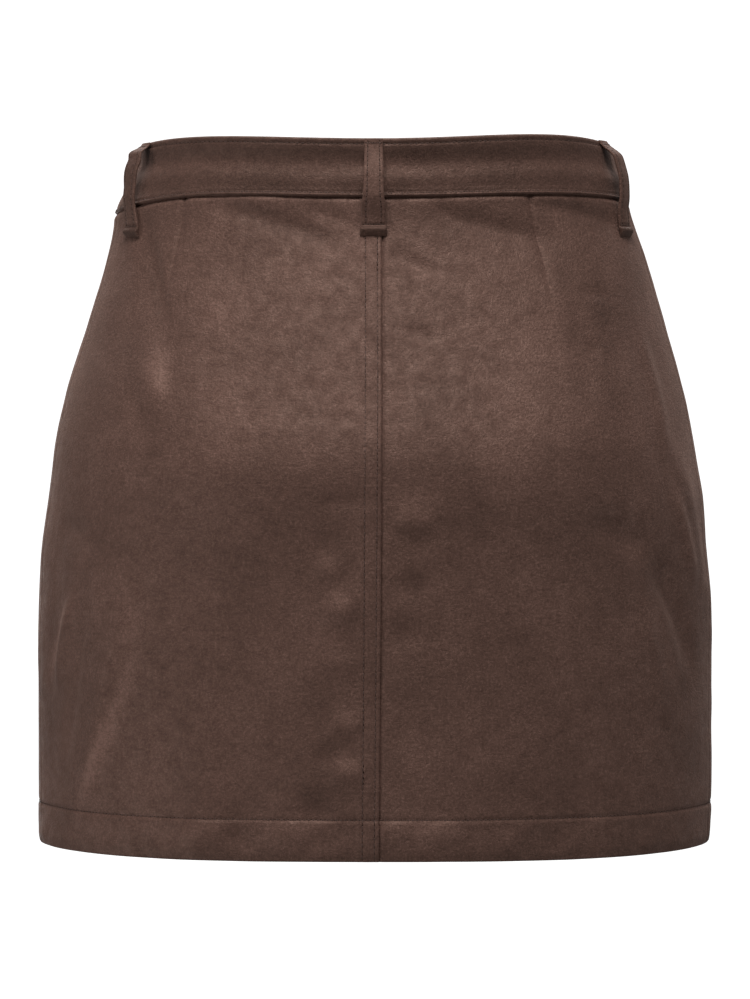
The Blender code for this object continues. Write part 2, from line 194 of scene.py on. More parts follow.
# Creases and puckers that only the cloth has
CREASES = [Fold(*row) for row in (
    # under the waistband and beside the dart, back left
    (56, -36, 41.2, -90, -1.72, 4.5, 1),
    (50.5, -60, 46, -96, 0.8, 6),
    (45.5, -90, 38, -134, 2.0, 7.5, -1),
    (48, -121, 40, -151, -0.78, 6),
    (39.8, -19, 9.5, -39, -1.55, 5, 2),
    (35, -31, 8.8, -48, 0.4, 6, 2),
    (15.5, -22, 2.5, -34, -1.08, 4),
    # under the waistband, back right
    (-10.8, -23, -38.8, -40, -1.65, 5, -2),
    (-34.8, -20, -66.8, -28, -1.46, 4),
    (-2.5, -48, -12.2, -60, -1.27, 4),
    (-5.2, -90, -11.2, -97, -1.09, 4),
    (7.5, -86, 3.2, -87, -0.92, 3),
    (8.8, -139, 3, -141, -0.92, 3),
    (-42.5, -69, -51, -70, -0.92, 3.5),
    (-41.2, -99, -45.2, -101, -1.09, 4),
    (-40.8, -74, -38.5, -136, -1.1, 9, 1),
    (-60.8, -89, -59.8, -162, 1.46, 7),
    # puckers along the centre back seam
    (8.5, -184, -0.8, -186, -0.6, 4),
    (11, -210, 5, -207, -1.1, 7),
    (9, -221, 4.5, -224, 1.5, 7),
    (8, -242, 2.5, -245, 2.0, 8),
    (7.5, -271, 2, -274, 1.2, 6),
    (7, -305, 2, -308, 1.8, 7),
    (10, -326, 4.5, -322, -1.2, 6),
    (6.5, -331, 1.5, -334, 1.9, 7),
    (12.5, -356, 6.5, -352, -1.5, 7),
    (-3, -194, -9.5, -196, 1.2, 7),
    (-2.5, -205, -9, -207, -0.8, 7),
    (-2.5, -230, -9, -232, -1.1, 8),
    (-2.5, -255, -7.5, -259, -1.2, 7),
    (-2, -282, -7, -286, 0.8, 8),
    # long soft folds over the thigh
    (41.5, -225, 55.2, -352, 2.9, 8, -2),
    (58.5, -236, 66.5, -290, 2.9, 6),
    (53.5, -239, 62.8, -339, -2.29, 7),
    (67.8, -198, 55.8, -202, -1.22, 6),
    (-35.8, -195, -51, -213, -2.7, 9),
    (-51, -213, -66, -280, -3.1, 9, 2),
    (-60.2, -180, -68, -230, 2.43, 6),
    (-47.5, -233, -54.2, -294, 1.22, 6),
    # drags in the hem
    (41, -371, 45.2, -361, 0.84, 6),
    (26.8, -370, 30, -361, 0.98, 7),
    (11.5, -371, 14.8, -360, 1.12, 8),
    (-3.8, -371, -1.5, -360, 1.12, 8),
    (-11.5, -372, -8.8, -360, 0.98, 8),
    (-30.2, -375, -24.8, -362, -0.98, 8),
    (19.5, -377, 21.5, -364, -0.84, 6),
    # front, the wearer's left
    (122, -34, 137, -88, -0.9, 5, 1),
    (128, -70, 141, -130, 0.8, 6),
    (142, -20, 170, -38, -0.9, 5, 2),
    (160, -92, 168, -98, -0.5, 4),
    (172, -206, 179, -203, -0.7, 4),
    (171, -252, 179, -246, 0.9, 5),
    (170, -262, 178, -258, -0.7, 5),
    (134, -228, 121, -345, 0.8, 6),
    (113, -236, 107, -322, -0.9, 7),
    (150, -371, 146, -360, 0.7, 7),
    (168, -372, 165, -360, -0.7, 7),
    # front, the wearer's right
    (-120, -32, -138, -94, -0.8, 5, -1),
    (-131, -80, -142, -128, 0.8, 6),
    (-144, -22, -168, -36, -0.8, 5),
    (-158, -106, -166, -112, -0.5, 4),
    (-171, -218, -179, -214, 0.8, 5),
    (-170, -229, -178, -226, -0.8, 5),
    (-172, -288, -179, -282, -0.8, 6),
    (-128, -206, -114, -276, -1.1, 8, -2),
    (-110, -186, -104, -244, 1.0, 6),
    (-140, -370, -137, -360, 0.7, 8),
    (-158, -373, -155, -361, -0.6, 7),
    (-172, -371, -170, -360, 0.7, 7),
)]

# Painted highlights and painted shade on the folds, puckers and hem: the cloth is painted lighter or
# darker there; the rise is in tone, not mm
PAINTED_LIGHT_MARKS = [Fold(*row) for row in (
    # painted highlights: streaks over the left thigh and hip
    (41, -220, 43, -288, 0.085, 6.5),
    (41.38, -275.72, 58.39, -362.66, 0.25, 5.5),
    (53, -198, 60, -241, 0.068, 5.5),
    (60, -241, 71.5, -283, 0.26, 4.5),
    (44.5, -102, 37, -130, 0.153, 7.5),
    # painted highlights: on the puckers beside the centre back seam
    (8, -219, 5.5, -216, 0.07, 6.5),
    (6.5, -239, 3.5, -236, 0.098, 6.5),
    (5.5, -303, 3, -301, 0.07, 6.5),
    (5.5, -329, 2.5, -326, 0.084, 6.5),
    (-3.5, -193, -8, -190, 0.07, 6.5),
    # painted highlights: the right thigh and side
    (-19.5, -238, -35.5, -249, 0.053, 34),
    (-75, -55, -67, -97, 0.075, 3.5),
    (-59.5, -167, -69.5, -240, 0.105, 4.5),
    (-48, -229, -63, -317, 0.075, 6),
    # painted shade: in the puckers beside the centre back seam
    (-4, -227, -7, -226, -0.095, 9.5),
    (-2.5, -253, -5, -252, -0.074, 10.5),
    (11.5, -349, 6, -344, -0.126, 10.5),
    (11.5, -328, 7.5, -323, -0.053, 9.5),
    (14, -187, 1, -188, -0.042, 10.5),
    (9, -206, 5.5, -203, -0.053, 7.5),
    # painted shade: under the waistband, beside the dart and on the right hip
    (58.5, -27, 41, -98, -0.098, 3.5),
    (33, -21, 6, -43, -0.112, 5),
    (-3.5, -22, -26, -37, -0.084, 6),
    (-43, -25, -70, -30, -0.098, 7),
    (-50.5, -56, -46, -101, -0.084, 9),
    (-37, -74, -42, -90, -0.042, 9),
    (-35, -195, -64.5, -262, -0.07, 9),
    # painted highlights and painted shade in the hem
    (-6, -361, -13.5, -362, 0.098, 5),
    (15.5, -365, 9.5, -367, 0.07, 5),
    (30, -367, 23, -365, 0.07, 6),
    (-22, -369, -30.5, -370, -0.098, 7),
    (-38, -368, -48, -370, -0.056, 6),
    # broad painted highlights and painted shade, over the seat and under the waistband
    (-30, -53, -25.5, -150, 0.06, 24),
    (28.5, -53, 22, -146, 0.035, 26),
    (-52, -45, -41.5, -154, -0.06, 10),
    (36, -36, 6, -38, -0.07, 9),
    (-5, -37, -19.5, -36, -0.06, 9),
    (-36.5, -65, -31.5, -150, 0.055, 8),
    (-12.5, -146, -31.5, -151, 0.03, 9),
    # front, in the same manner
    (128, -250, 118, -345, 0.08, 7),
    (-122, -240, -112, -330, 0.07, 7),
    (176, -246, 171, -250, 0.05, 6),
    (-176, -290, -171, -293, 0.05, 6),
    (170, -205, 176, -203, -0.07, 7),
    (-150, -60, -138, -110, -0.05, 9),
    (150, -130, 140, -150, -0.04, 12),
    (-165, -365, -152, -362, 0.05, 6),
    (140, -366, 152, -362, -0.05, 6),
)]

# From a fold's middle, as a share of its length, to where its rise fades to about a third
FOLD_REACH = 0.44
# Nominal millimetres in a degree of turn, for the folds and the darts
GIRTH_PER_DEGREE = 2.7
QUARTER_GIRTH = 90.0 * GIRTH_PER_DEGREE
# Degrees and millimetres to each side of a place, to read the cloth's slope
SLOPE_STEP = 0.5

# The seat's crest: how far it stands out, and where it is fullest
CREST_RISE = 2.9
CREST_HEIGHT = -172
CREST_HALF_HEIGHT = 31
CREST_FULLEST = 66

# Sewing: where the rows run
TWIN_ROWS = (2.4, 9.0)
BAND_ROW_BELOW_TOP = 3.1
BAND_ROW_ABOVE_SEAM = 2.1
LOOP_ROW_INSET = 2.1
LOOP_BAR_ABOVE_END = 6.0
FLY_WIDTH, FLY_LENGTH, FLY_BEND = 36.0, 118.0, 30.0
FLY_INSETS = (0.0, 6.0)
# Each row's pitch, and the share of it that the thread shows
TWIN_STITCH = (3.2, 0.74)
HEM_STITCH = (2.5, 0.72)
BAND_STITCH = (3.0, 0.74)
LOOP_STITCH = (2.9, 0.74)
BAR_STITCH = (1.5, 0.8)
# The stitches, and the dark discs of painted shade at the needle holes between them
STITCH_THICK = 0.46
STITCH_SINK = 0.2
STITCH_RINGS, STITCH_SIDES = 5, 6
HOLE_RADIUS = 0.45
TWIN_HOLE_RADIUS = 0.81
FLY_HOLE_RADIUS = 0.54
HOLE_LIFT = 0.04
HOLE_DEPTH = 0.5


def section_size(column, height):
    """Smooth curve through one column of the section table, read at the heights."""
    rows = sorted(SECTIONS)
    knots = np.array([row.height for row in rows], float)
    sizes = np.array([getattr(row, column) for row in rows], float)
    slopes = np.gradient(sizes, knots)
    low = np.clip(np.searchsorted(knots, height) - 1, 0, len(knots) - 2)
    span = knots[low + 1] - knots[low]
    t = np.clip((height - knots[low]) / span, 0.0, 1.0)
    from_low = (1 + 2 * t) * (1 - t) ** 2 * sizes[low] + t * (1 - t) ** 2 * span * slopes[low]
    from_high = t * t * (3 - 2 * t) * sizes[low + 1] - t * t * (1 - t) * span * slopes[low + 1]
    return from_low + from_high


def edge_height(edge, turn):
    """Height of an edge of the garment, between its values at back, sides and front."""
    angle = np.radians(turn)
    on_left = np.sin(angle) >= 0
    side = np.where(on_left, edge.left, edge.right)
    end = np.where(np.cos(angle) >= 0, edge.back, edge.front)
    arch = np.where(on_left, edge.arch_left, edge.arch_right)
    share = np.sin(angle) ** 4
    return side * share + end * (1 - share) + arch * np.sin(2 * angle) ** 2


def turn_between(turn, start):
    """Degrees from the start to the turn, by the short way round."""
    return (turn - start + 180.0) % 360.0 - 180.0


def fold_rise(folds, turn, height):
    """How far the folds move the cloth outwards."""
    total = np.zeros(np.broadcast(turn, height).shape)
    for fold in folds:
        run = turn_between(fold.to_turn, fold.from_turn) * GIRTH_PER_DEGREE
        drop = fold.to_height - fold.from_height
        length = math.hypot(run, drop)
        across = turn_between(turn, fold.from_turn) * GIRTH_PER_DEGREE
        down = height - fold.from_height
        along = (across * run + down * drop) / length**2
        aside = (across * drop - down * run) / length
        aside = aside - fold.bow * np.clip(1 - (2 * along - 1) ** 2, 0, 1)
        ends = np.exp(-(((along - 0.5) / FOLD_REACH) ** 4))
        total += fold.rise * ends * bell(aside, 0, fold.half_width)
    return total


def section_point(turn, height):
    """Place on the smooth form, before folds."""
    angle = np.radians(turn)
    left, right, back, front, corner = (section_size(name, height) for name in Section._fields[1:])
    side = np.where(np.sin(angle) >= 0, left, right)
    depth = np.where(np.cos(angle) >= 0, back, front)
    x = side * (np.sin(angle) + corner * np.sin(3 * angle)) / (1 - corner)
    y = depth * (np.cos(angle) - corner * np.cos(3 * angle)) / (1 - corner)
    return np.stack([x, y, height + 0.0 * x], axis=-1)


def outward(place, turn, height):
    """Unit normals of the surface that place() describes."""
    round_way = place(turn + SLOPE_STEP, height) - place(turn - SLOPE_STEP, height)
    up_way = place(turn, height + SLOPE_STEP) - place(turn, height - SLOPE_STEP)
    normal = np.cross(up_way, round_way)
    return normal / np.linalg.norm(normal, axis=-1, keepdims=True)


def cloth_point(turn, height):
    """Place on the outer face of the cloth, with the folds that the solids have."""
    rise = fold_rise(FOLDS, turn, height)[..., None]
    return section_point(turn, height) + rise * outward(section_point, turn, height)


def lifted(turn, height, lift):
    """Places that stand out from the cloth by the lift, and the cloth's normals there."""
    turn, height, lift = np.broadcast_arrays(turn, height, lift)
    normal = outward(cloth_point, turn, height)
    return cloth_point(turn, height) + lift[..., None] * normal, normal


def turn_length(turn, height):
    """Millimetres of cloth in one degree of turn, at one place."""
    ends = section_point(np.array([turn - 0.5, turn + 0.5]), height)
    return float(np.linalg.norm(ends[1] - ends[0]))


# The cloth's length round from the centre back, a degree apart at each height
ARC_REACH = 200
ARC_ROW = 6.0
ARC_HEIGHTS = np.arange(-390.0, 24.0, ARC_ROW)
ARC_TURNS = np.arange(-ARC_REACH, ARC_REACH + 0.5, 1.0)
ARC_STEPS = np.linalg.norm(
    np.diff(section_point(ARC_TURNS, ARC_HEIGHTS[:, None]), axis=1)[..., :2], axis=-1
)
ARCS = np.concatenate([np.zeros((len(ARC_HEIGHTS), 1)), np.cumsum(ARC_STEPS, axis=1)], axis=1)
ARCS -= ARCS[:, [ARC_REACH]]


def arc(turn, height):
    """Millimetres of cloth round from the centre back, at a height."""
    turn, height = np.broadcast_arrays(turn, height)
    column = np.clip(turn - ARC_TURNS[0], 0, len(ARC_TURNS) - 1.001)
    row = np.clip((height - ARC_HEIGHTS[0]) / ARC_ROW, 0, len(ARC_HEIGHTS) - 1.001)
    i, j = column.astype(int), row.astype(int)
    a, b = column - i, row - j
    low = ARCS[j, i] * (1 - a) + ARCS[j, i + 1] * a
    high = ARCS[j + 1, i] * (1 - a) + ARCS[j + 1, i + 1] * a
    return low * (1 - b) + high * b


def turn_lengths(turn, height):
    """Millimetres of cloth in one degree of turn, at many places, from the table."""
    return arc(turn + 0.5, height) - arc(turn - 0.5, height)


def ease(value, start, end):
    """0 before start, 1 after end, smooth between."""
    share = np.clip((value - start) / (end - start), 0.0, 1.0)
    return share * share * (3 - 2 * share)


def bell(value, middle, half_width):
    """1 at the middle, falling smoothly to both sides."""
    return np.exp(-(((value - middle) / half_width) ** 2))


def rounding(distance, radius):
    """How far a round edge falls back, at a distance from its end."""
    share = np.clip(1.0 - distance / radius, 0.0, 1.0)
    return radius * (1.0 - np.sqrt(1.0 - share * share))


WANDER_CELLS = 211


def wander(across, down, cell, seed):
    """Smooth random values between -1 and 1, a cell apart, over the cloth in mm."""
    size = WANDER_CELLS
    table = np.random.default_rng(seed).uniform(-1.0, 1.0, (size, size))
    across, down = np.broadcast_arrays(across / cell, down / cell)
    column, row = np.floor(across).astype(int), np.floor(down).astype(int)
    a, b = ease(across - column, 0, 1), ease(down - row, 0, 1)
    column, beside, row, below = column % size, (column + 1) % size, row % size, (row + 1) % size
    near = table[row, column] * (1 - a) + table[row, beside] * a
    far = table[below, column] * (1 - a) + table[below, beside] * a
    return near * (1 - b) + far * b


def merged(places, extra):
    """Both sets of places in order, each once."""
    return np.unique(np.round(np.concatenate([places, extra]), 3))


def graded(length, spots, fine, coarse, spread=9.0):
    """Places from 0 to length, close together near the spots and wider elsewhere. A spot
    is its place and how far the close spacing reaches to each side."""
    places = [0.0]
    while places[-1] < length:
        away = min(max(0.0, abs(places[-1] - spot) - reach) for spot, reach in spots)
        places.append(places[-1] + fine + (coarse - fine) * min(1.0, away / spread))
    places = np.array(places)
    return places * (length / places[-1])


# Materials


def material_nodes(name):
    material = bpy.data.materials.new(name)
    material.use_nodes = True
    tree = material.node_tree
    return material, tree, tree.nodes["Principled BSDF"]


def set_inputs(node, values):
    """Gives the node's inputs their values, or links them to the outputs given."""
    for key, value in values.items():
        if isinstance(value, bpy.types.NodeSocket):
            node.id_data.links.new(value, node.inputs[key])
        else:
            node.inputs[key].default_value = value


def add(tree, kind, values=None, **settings):
    node = tree.nodes.new(kind)
    for key, value in settings.items():
        setattr(node, key, value)
    set_inputs(node, values or {})
    return node


def ramp(tree, source, stops):
    node = add(tree, "ShaderNodeValToRGB", {"Fac": source})
    while len(node.color_ramp.elements) < len(stops):
        node.color_ramp.elements.new(0.5)
    for element, (position, colour) in zip(node.color_ramp.elements, stops):
        element.position = position
        element.color = (*colour, 1.0)
    return node.outputs["Color"]


def noise(tree, vector, scale, detail=2.0, roughness=0.5, distortion=0.0):
    values = {"Scale": scale, "Detail": detail, "Roughness": roughness, "Distortion": distortion}
    return add(tree, "ShaderNodeTexNoise", {"Vector": vector, **values}).outputs["Fac"]


def stretched(tree, vector, scale):
    return add(tree, "ShaderNodeMapping", {"Vector": vector, "Scale": scale}).outputs["Vector"]


def mixed(tree, shares):
    """Weighted sum of outputs that lie round 0.5, itself round 0.5."""
    total = 0.5 - 0.5 * sum(weight for _, weight in shares)
    for output, weight in shares:
        values = {0: output, 1: weight, 2: total}
        total = add(tree, "ShaderNodeMath", values, operation="MULTIPLY_ADD").outputs[0]
    return total


def bump(tree, height, strength, distance):
    values = {"Height": height, "Strength": strength, "Distance": distance}
    return add(tree, "ShaderNodeBump", values).outputs["Normal"]


def suede_material():
    material, tree, shader = material_nodes("faux_suede")
    cloth = add(tree, "ShaderNodeUVMap", uv_map="cloth").outputs["UV"]
    patches = noise(tree, cloth, 16, 2, 0.5, 0.4)
    clouds = noise(tree, cloth, 45, 3, 0.55, 0.3)
    brushed = noise(tree, cloth, 130, 3, 0.6, 0.3)
    nap_and_painted_light = noise(tree, cloth, 380, 2, 0.6)
    grain = noise(tree, cloth, 760, 2, 0.6)
    warp = noise(tree, stretched(tree, cloth, (2200, 320, 1)), 1.0, 1)
    weft = noise(tree, stretched(tree, cloth, (320, 2200, 1)), 1.0, 1)
    fibre = noise(tree, cloth, 1700, 1, 0.6)
    tone = mixed(tree, [
        (patches, 0.30), (clouds, 0.25), (brushed, 0.23), (nap_and_painted_light, 0.38), (grain, 0.46),
        (warp, 0.12), (weft, 0.12), (fibre, 0.46),
    ])
    # painted highlights and painted shade, carried in a mesh attribute, lighten or darken the tone
    painted_light_tone = add(tree, "ShaderNodeAttribute", attribute_name="painted_light_tone").outputs["Fac"]
    marked = add(tree, "ShaderNodeMath", {0: tone, 1: painted_light_tone}, operation="ADD").outputs[0]
    rough = {"Value": brushed, "From Min": 0.3, "From Max": 0.7, "To Min": 0.76, "To Max": 0.52}
    height = [(nap_and_painted_light, 0.5), (grain, 0.4), (warp, 0.2), (weft, 0.2), (fibre, 0.3), (brushed, 0.6)]
    set_inputs(shader, {
        "Base Color": ramp(tree, marked, [
            (0.20, (0.0300, 0.0145, 0.0108)),
            (0.45, (0.0655, 0.0334, 0.0255)),
            (0.55, (0.0837, 0.0437, 0.0337)),
            (0.80, (0.1500, 0.0837, 0.0664)),
        ]),
        "Roughness": add(tree, "ShaderNodeMapRange", rough).outputs["Result"],
        "Normal": bump(tree, mixed(tree, height), 0.9, 0.0006),
        "Specular IOR Level": 0.62, "Specular Tint": (1.0, 0.67, 0.54, 1.0),
        "Sheen Weight": 0.14, "Sheen Roughness": 0.42, "Sheen Tint": (0.95, 0.62, 0.50, 1.0),
    })
    return material


def spotted(name, scale, stops, values, relief=None):
    """A material whose colour varies finely over the object, with or without relief."""
    material, tree, shader = material_nodes(name)
    shade = noise(tree, add(tree, "ShaderNodeTexCoord").outputs["Object"], scale)
    set_inputs(shader, {"Base Color": ramp(tree, shade, stops), **values})
    if relief:
        set_inputs(shader, {"Normal": bump(tree, shade, *relief)})
    return material


def button_material():
    material, tree, shader = material_nodes("button_resin")
    place = add(tree, "ShaderNodeTexCoord").outputs["Object"]
    marble = noise(tree, stretched(tree, place, (90, 240, 240)), 1.0, 4, 0.6, 1.2)
    stops = [(0.3, (0.014, 0.008, 0.006)), (0.55, (0.036, 0.020, 0.015)), (0.8, (0.085, 0.050, 0.036))]
    rough = ramp(tree, noise(tree, place, 700, 3), [(0.3, (0.26,) * 3), (0.7, (0.42,) * 3)])
    set_inputs(shader, {"Base Color": ramp(tree, marble, stops), "Roughness": rough})
    return material


SUEDE = suede_material()
THREAD = spotted(
    "sewing_thread", 2600, [(0.3, (0.046, 0.026, 0.020)), (0.7, (0.098, 0.056, 0.045))],
    {"Roughness": 0.6, "Specular IOR Level": 0.3}, (0.4, 0.0001),
)
# painted shade: dark discs at the needle holes stand for the shade in and round each hole
HOLE_SHADE = spotted(
    "painted_needle_hole_shade", 900, [(0.3, (0.019, 0.010, 0.007)), (0.7, (0.034, 0.018, 0.013))],
    {"Roughness": 0.95, "Specular IOR Level": 0.1},
)
BUTTON = button_material()

# Meshes


def new_object(name, data):
    obj = bpy.data.objects.new(name, data)
    bpy.context.scene.collection.objects.link(obj)
    return obj


def add_piece(name, mesh):
    obj = new_object(name, mesh)
    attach(obj, "root")
    return obj


def shell(node, outer, inner, uv, nap_and_painted_light):
    """The cloth that stands for a node: a closed thin shell from an outer and an inner
    grid of places in mm, with the painted highlights and painted shade in its tone."""
    name = "cloth_" + node
    rows, columns = outer.shape[:2]
    count = rows * columns
    places = np.concatenate([outer.reshape(-1, 3), inner.reshape(-1, 3)]) / METRE
    first = (np.arange(rows - 1)[:, None] * columns + np.arange(columns - 1)).ravel()
    quads = np.stack([first, first + columns, first + columns + 1, first + 1], axis=1)
    rim = [*range(columns - 1), *range(columns - 1, count - 1, columns)]
    rim = np.array(rim + [count - 1 - index for index in rim])
    after = np.roll(rim, -1)
    edge = np.stack([rim, after, after + count, rim + count], axis=1)
    faces = np.concatenate([quads, quads[:, ::-1] + count, edge])

    mesh = bpy.data.meshes.new(name)
    mesh.vertices.add(len(places))
    mesh.vertices.foreach_set("co", places.astype(np.float32).ravel())
    mesh.loops.add(faces.size)
    mesh.loops.foreach_set("vertex_index", faces.ravel().astype(np.int32))
    mesh.polygons.add(len(faces))
    mesh.polygons.foreach_set("loop_start", np.arange(0, faces.size, 4, dtype=np.int32))
    mesh.update(calc_edges=True)
    mesh.validate()
    flat = np.tile(uv.reshape(-1, 2), (2, 1)) / METRE
    layer = mesh.uv_layers.new(name="cloth")
    layer.data.foreach_set("uv", flat[faces.ravel()].astype(np.float32).ravel())
    tones = np.tile(np.broadcast_to(nap_and_painted_light, (rows, columns)).ravel(), 2)
    layer = mesh.attributes.new("painted_light_tone", "FLOAT", "POINT")
    layer.data.foreach_set("value", tones.astype(np.float32))
    mesh.shade_smooth()
    mesh.materials.append(SUEDE)
    piece = add_piece(name, mesh)
    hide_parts(node)
    return piece


def turned(profile, steps):
    """A surface turned round Z from a profile of distances and heights."""
    shape = bmesh.new()
    points = [shape.verts.new((x, 0.0, z)) for x, z in profile]
    for start, end in zip(points, points[1:]):
        shape.edges.new((start, end))
    bmesh.ops.spin(
        shape, geom=shape.verts[:] + shape.edges[:], cent=(0, 0, 0), axis=(0, 0, 1),
        angle=math.tau, steps=steps, use_merge=True,
    )
    bmesh.ops.remove_doubles(shape, verts=shape.verts[:], dist=1e-4)
    return shape


def as_mesh(shape, name):
    mesh = bpy.data.meshes.new(name)
    shape.to_mesh(mesh)
    shape.free()
    return mesh


# Panels

# How far a panel's cloth runs up behind the band, and past its seams
PANEL_TUCK = 1.4
PANEL_LAP = 0.12


def side_seam(height):
    """Turn of the side seam: it swings back from the waist to the hip."""
    share = ease(height, 0.0, SIDE_SEAM_SETTLES)
    return SIDE_SEAM_WAIST + (SIDE_SEAM_HIP - SIDE_SEAM_WAIST) * share


def back_seam(height):
    """Turn of the centre back seam, which leans a little."""
    share = np.clip(height / HEM.back, 0.0, 1.0)
    return BACK_SEAM_TOP + (BACK_SEAM_HEM - BACK_SEAM_TOP) * share


def plain_seam(away):
    """A seam pressed open: the cloth rolls in to it and lies over its allowance."""
    return -0.32 * bell(away, 0, 0.8) + 0.15 * bell(away, 5, 4.5)


def top_seam(away):
    """The topstitched side of a lapped seam, with the two rows' grooves."""
    raised = 0.5 * ease(away, 0.0, 0.7) * (1 - ease(away, 9.8, 13.5))
    rows = sum(bell(away, row, 0.9) for row in TWIN_ROWS)
    return raised - 0.36 * rows - 0.35 * bell(away, 0, 0.6)


def under_seam(away):
    """The side that a lapped seam covers."""
    return -0.9 * bell(away, 0, 1.3)


Panel = namedtuple("Panel", "first last first_seam last_seam")
PANELS = {
    "back_left": Panel(back_seam, side_seam, top_seam, plain_seam),
    "back_right": Panel(lambda z: -side_seam(z), back_seam, plain_seam, under_seam),
    "front_left": Panel(side_seam, lambda z: FRONT_SEAM, plain_seam, under_seam),
    "front_right": Panel(lambda z: -FRONT_SEAM, lambda z: -side_seam(z), top_seam, plain_seam),
}


def panel_lift(panel, turn, height):
    """Fine relief of a panel: creases, puckers, seams, dart, hem and the seat's crest."""
    first, last = panel.first(height), panel.last(height)
    share = (turn - first) / (last - first)
    along = arc(turn, height)
    from_first, from_last = along - arc(first, height), arc(last, height) - along
    below = edge_height(WAIST_SEAM, turn) - height
    above = height - edge_height(HEM, turn)

    lift = fold_rise(CREASES, turn, height)
    lift += 0.62 * wander(along, height, 34, 3)
    lift += 0.16 * wander(along, height, 13, 5)
    lift += panel.first_seam(from_first)
    lift += panel.last_seam(from_last)
    # small puckers that the seams' sewing draws in
    beside = np.minimum(from_first, from_last)
    lift += 0.28 * wander(along / 3, height, 9, 8) * np.exp(-beside / 9) * ease(beside, 0.5, 3)
    # dart
    fade = np.clip(1.0 - below / DART_LENGTH, 0.0, 1.0)
    aside = (share - DART_SHARE) * QUARTER_GIRTH
    groove = DART_DEPTH * bell(aside, 0, DART_HALF_WIDTH) + 0.35 * bell(aside, 0, 0.8)
    lift -= np.sqrt(fade) * groove
    # waist seam
    lift -= 1.6 * bell(below, -0.3, 1.9)
    lift += 0.30 * wander(along, below / 4, 12, 13) * np.exp(-below / 10) * ease(below, 0, 3)
    # the hem's ridge and its turned edge
    lift -= 0.5 * bell(above, HEM_DEPTH, 1.1)
    lift += 0.3 * (1 - ease(above, 20.5, 23))
    lift -= 0.75 * (1 - ease(above, -0.5, 5.5))
    # the seat's crest, fullest on each side of the centre back
    full = 0.85 + 0.3 * bell(np.abs(along), CREST_FULLEST, 34)
    crest = CREST_RISE * full * (1 - ease(np.abs(along), 85, 150))
    lift += crest * bell(height, CREST_HEIGHT, CREST_HALF_HEIGHT)
    # drags in the hem's cloth and just above it
    drag = wander(along + 0.9 * above, above / 5, 13, 21)
    drag = drag + 0.6 * wander(along - 0.7 * above, above / 4, 8, 22)
    lift += 0.42 * drag * ease(above, 1, 8) * (1 - ease(above, 17, 22.5))
    just_above = ease(above, 23.5, 26) * np.exp(-(above - HEM_DEPTH) / 14)
    lift += 0.22 * wander(along, above / 4, 11, 23) * just_above
    return lift


def make_panel(node, spacing):
    panel = PANELS[node]
    width = QUARTER_GIRTH
    spots = [(0, 2), (width, 2), (width * DART_SHARE, 3)]
    if panel.first_seam is top_seam:
        spots.append((6, 6))
    across = graded(width, spots, 0.7, spacing) / width
    length = WAIST_SEAM.back - HEM.back + PANEL_TUCK
    down = graded(length, [(0, 4), (length, 1), (length - HEM_DEPTH, 2.5)], 0.6, spacing)
    down = merged(down[:-1], length - np.array([0.9, 0.45, 0.2, 0.06, 0.0]))[:, None]

    level = WAIST_SEAM.back - down
    first, last = panel.first(level), panel.last(level)
    lap = PANEL_LAP / GIRTH_PER_DEGREE
    turn = (first - lap) + (last - first + 2 * lap) * across
    waist = edge_height(WAIST_SEAM, turn)
    hem = edge_height(HEM, turn)
    height = waist + PANEL_TUCK + (hem - waist - PANEL_TUCK) * (down / length)
    above = height - hem
    lift = panel_lift(panel, turn, height)
    round_off = rounding(above, HEM_ROUND)
    thick = PANEL_CLOTH + (HEM_CLOTH - PANEL_CLOTH) * (1 - ease(above, HEM_DEPTH - 1.5, HEM_DEPTH))
    outer, normal = lifted(turn, height, lift - round_off)
    inner = outer - (thick - 2 * round_off)[..., None] * normal
    uv = np.stack(np.broadcast_arrays(arc(turn, height), height), axis=-1)
    # painted highlights and painted shade on the folds and puckers, and painted shade darkening the
    # hem's turned edge
    nap_and_painted_light = fold_rise(PAINTED_LIGHT_MARKS, turn, height) - 0.08 * (1 - ease(above, 3, 10))
    return shell(node, outer, inner, uv, nap_and_painted_light)


# Waistband

LAP_TURN = LAP_PAST_FRONT / turn_length(FRONT_SEAM, 0.0)
UNDERLAP_TURN = UNDERLAP / turn_length(FRONT_SEAM, 0.0)
STEP_END = FRONT_SEAM - LAP_TURN - UNDERLAP_CLEAR_TURN
# The grid's millimetres in a degree of turn, and from the band's top edge to its seam
BAND_GRID_GIRTH = 2.05
BAND_GRID_DEPTH = 33.0
# Shifts of the weave: up on the bands, and across on a loop for each degree of turn
BAND_WEAVE_SHIFT = 90.0
LOOP_WEAVE_SHIFT = 13.0


def band_lift(turn, height, step):
    """Fine relief of the band: rolled top edge, stitched edges and soft dents. With a
    step, the wearer's left end goes in behind the right end."""
    along = arc(turn, height)
    below = edge_height(BAND_TOP, turn) - height
    above = height - edge_height(WAIST_SEAM, turn)
    lift = 0.16 * bell(below, 1.4, 1.0) - 0.38 * bell(below, BAND_ROW_BELOW_TOP, 0.7)
    lift += 0.42 * bell(above, 1.0, 0.9)
    lift -= 0.34 * bell(above, 2.6, 0.9)
    lift += 0.5 * bell(below, 5.5, 4)
    lift -= 0.6 * bell(below, 14, 4)
    lift += 0.8 * bell(below, 22.5, 4.5)
    lift -= 0.085 * (below - 16.5) * bell(np.abs(turn), 32, 44) * ease(above, 0, 6)
    middle = ease(below, 3.5, 9) * ease(above, 3, 8)
    lift += 0.30 * wander(along, height / 2, 26, 31) * middle
    lift += 0.10 * wander(along, height, 9, 32) * ease(below, 0, 3)
    if step:
        lift -= (BAND_CLOTH + UNDERLAP_GAP) * ease(turn, STEP_END - UNDERLAP_STEP_TURN, STEP_END)
    return lift


